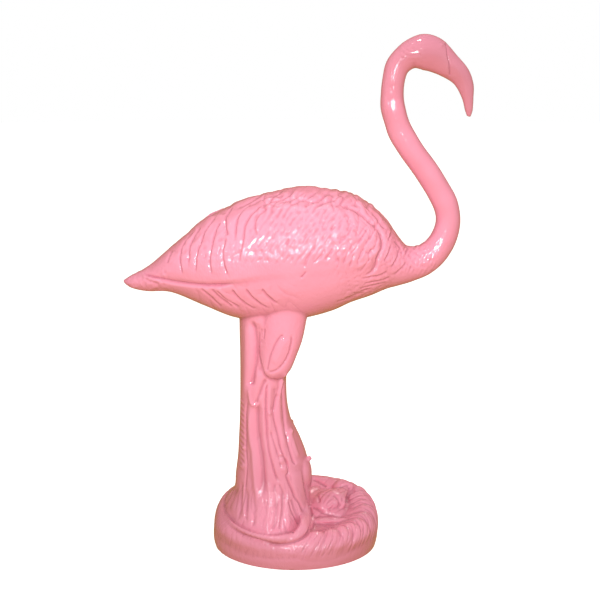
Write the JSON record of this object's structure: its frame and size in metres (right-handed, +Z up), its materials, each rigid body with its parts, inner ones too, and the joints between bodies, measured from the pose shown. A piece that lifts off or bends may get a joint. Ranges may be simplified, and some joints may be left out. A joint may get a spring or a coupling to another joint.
{
  "type": "flamingo statue",
  "caption": "Life-size garden statue of a standing flamingo, cast in one with its reed pillar and oval mound, with a flat underside to stand on.",
  "frame": {"origin": "centre of the oval mound's flat underside", "axes": "+X the way the bird faces, +Z up"},
  "size_m": [0.86, 0.3716, 1.3014],
  "materials": {
    "pink_gloss": "smooth high gloss coat, bubble-gum pink all over"
  },
  "bodies": {
    "root": {"flamingo_statue": "pink_gloss"}
  },
  "joints": []
}
